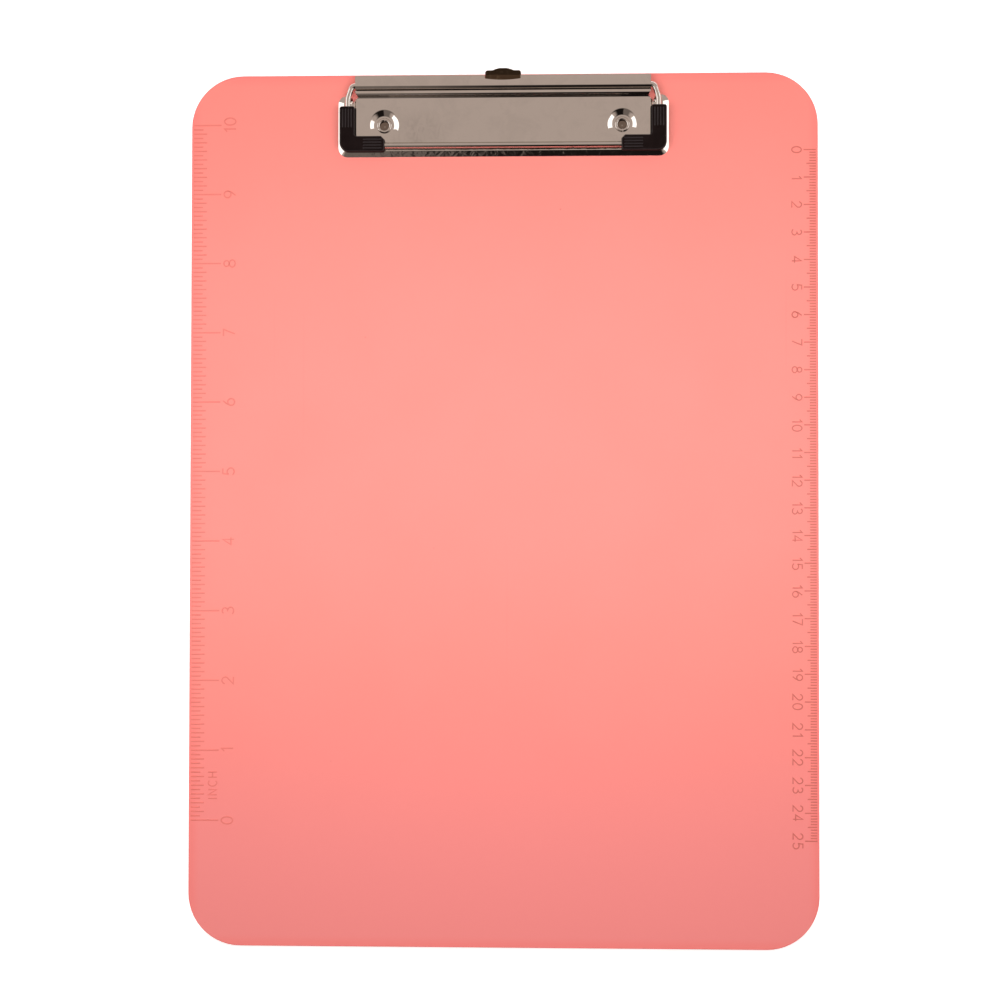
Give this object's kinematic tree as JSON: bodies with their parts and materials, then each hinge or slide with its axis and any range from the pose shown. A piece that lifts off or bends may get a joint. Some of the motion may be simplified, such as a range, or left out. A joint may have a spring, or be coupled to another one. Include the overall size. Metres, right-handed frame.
{
  "type": "clipboard",
  "caption": "Portrait plastic clipboard with a low-profile wire clip, flip lever, corner grips and a retractable hanging hook.",
  "frame": {"origin": "middle of the board's back face, where it lies on a table", "axes": "+Z out of the writing face, +Y along the board towards the clip, +X to the right as one reads"},
  "size_m": [0.2286, 0.3194, 0.0074],
  "materials": {
    "board_plastic": "smooth translucent polystyrene with light scratches",
    "plated_sheet": "bright nickel plate on steel sheet",
    "plated_wire": "bright nickel plate on drawn spring wire",
    "rivet_steel": "bright nickel plate with split clinched lip",
    "grip_rubber": "moulded satin black with fine grooves",
    "dark_steel": "dark bronze plating, lightly worn on its edges"
  },
  "bodies": {
    "board": {"board": "board_plastic", "base_plate": "plated_sheet", "rivet_left": "rivet_steel", "rivet_right": "rivet_steel"},
    "lever": {"lever_plate": "plated_sheet"},
    "bail": {"wire_bail": "plated_wire", "grip_left": "grip_rubber", "grip_right": "grip_rubber"},
    "hook": {"hang_hook": "dark_steel"}
  },
  "joints": [
    {"name": "lever_hinge", "type": "hinge", "parent": "board", "child": "lever", "pos_m": [0, 0.15405, 0.0057], "axis": [1, 0, 0], "range_deg": [0, 90]},
    {"name": "bail_hinge", "type": "hinge", "parent": "board", "child": "bail", "pos_m": [0, 0.15405, 0.0057], "axis": [-1, 0, 0], "range_deg": [0, 30]},
    {"name": "hook_slide", "type": "slide", "parent": "board", "child": "hook", "axis": [0, 1, 0], "range_m": [0, 0.012]}
  ],
  "couplings": [
    {"joint": "bail_hinge", "follows": "lever_hinge", "ratio": 0.33333}
  ]
}
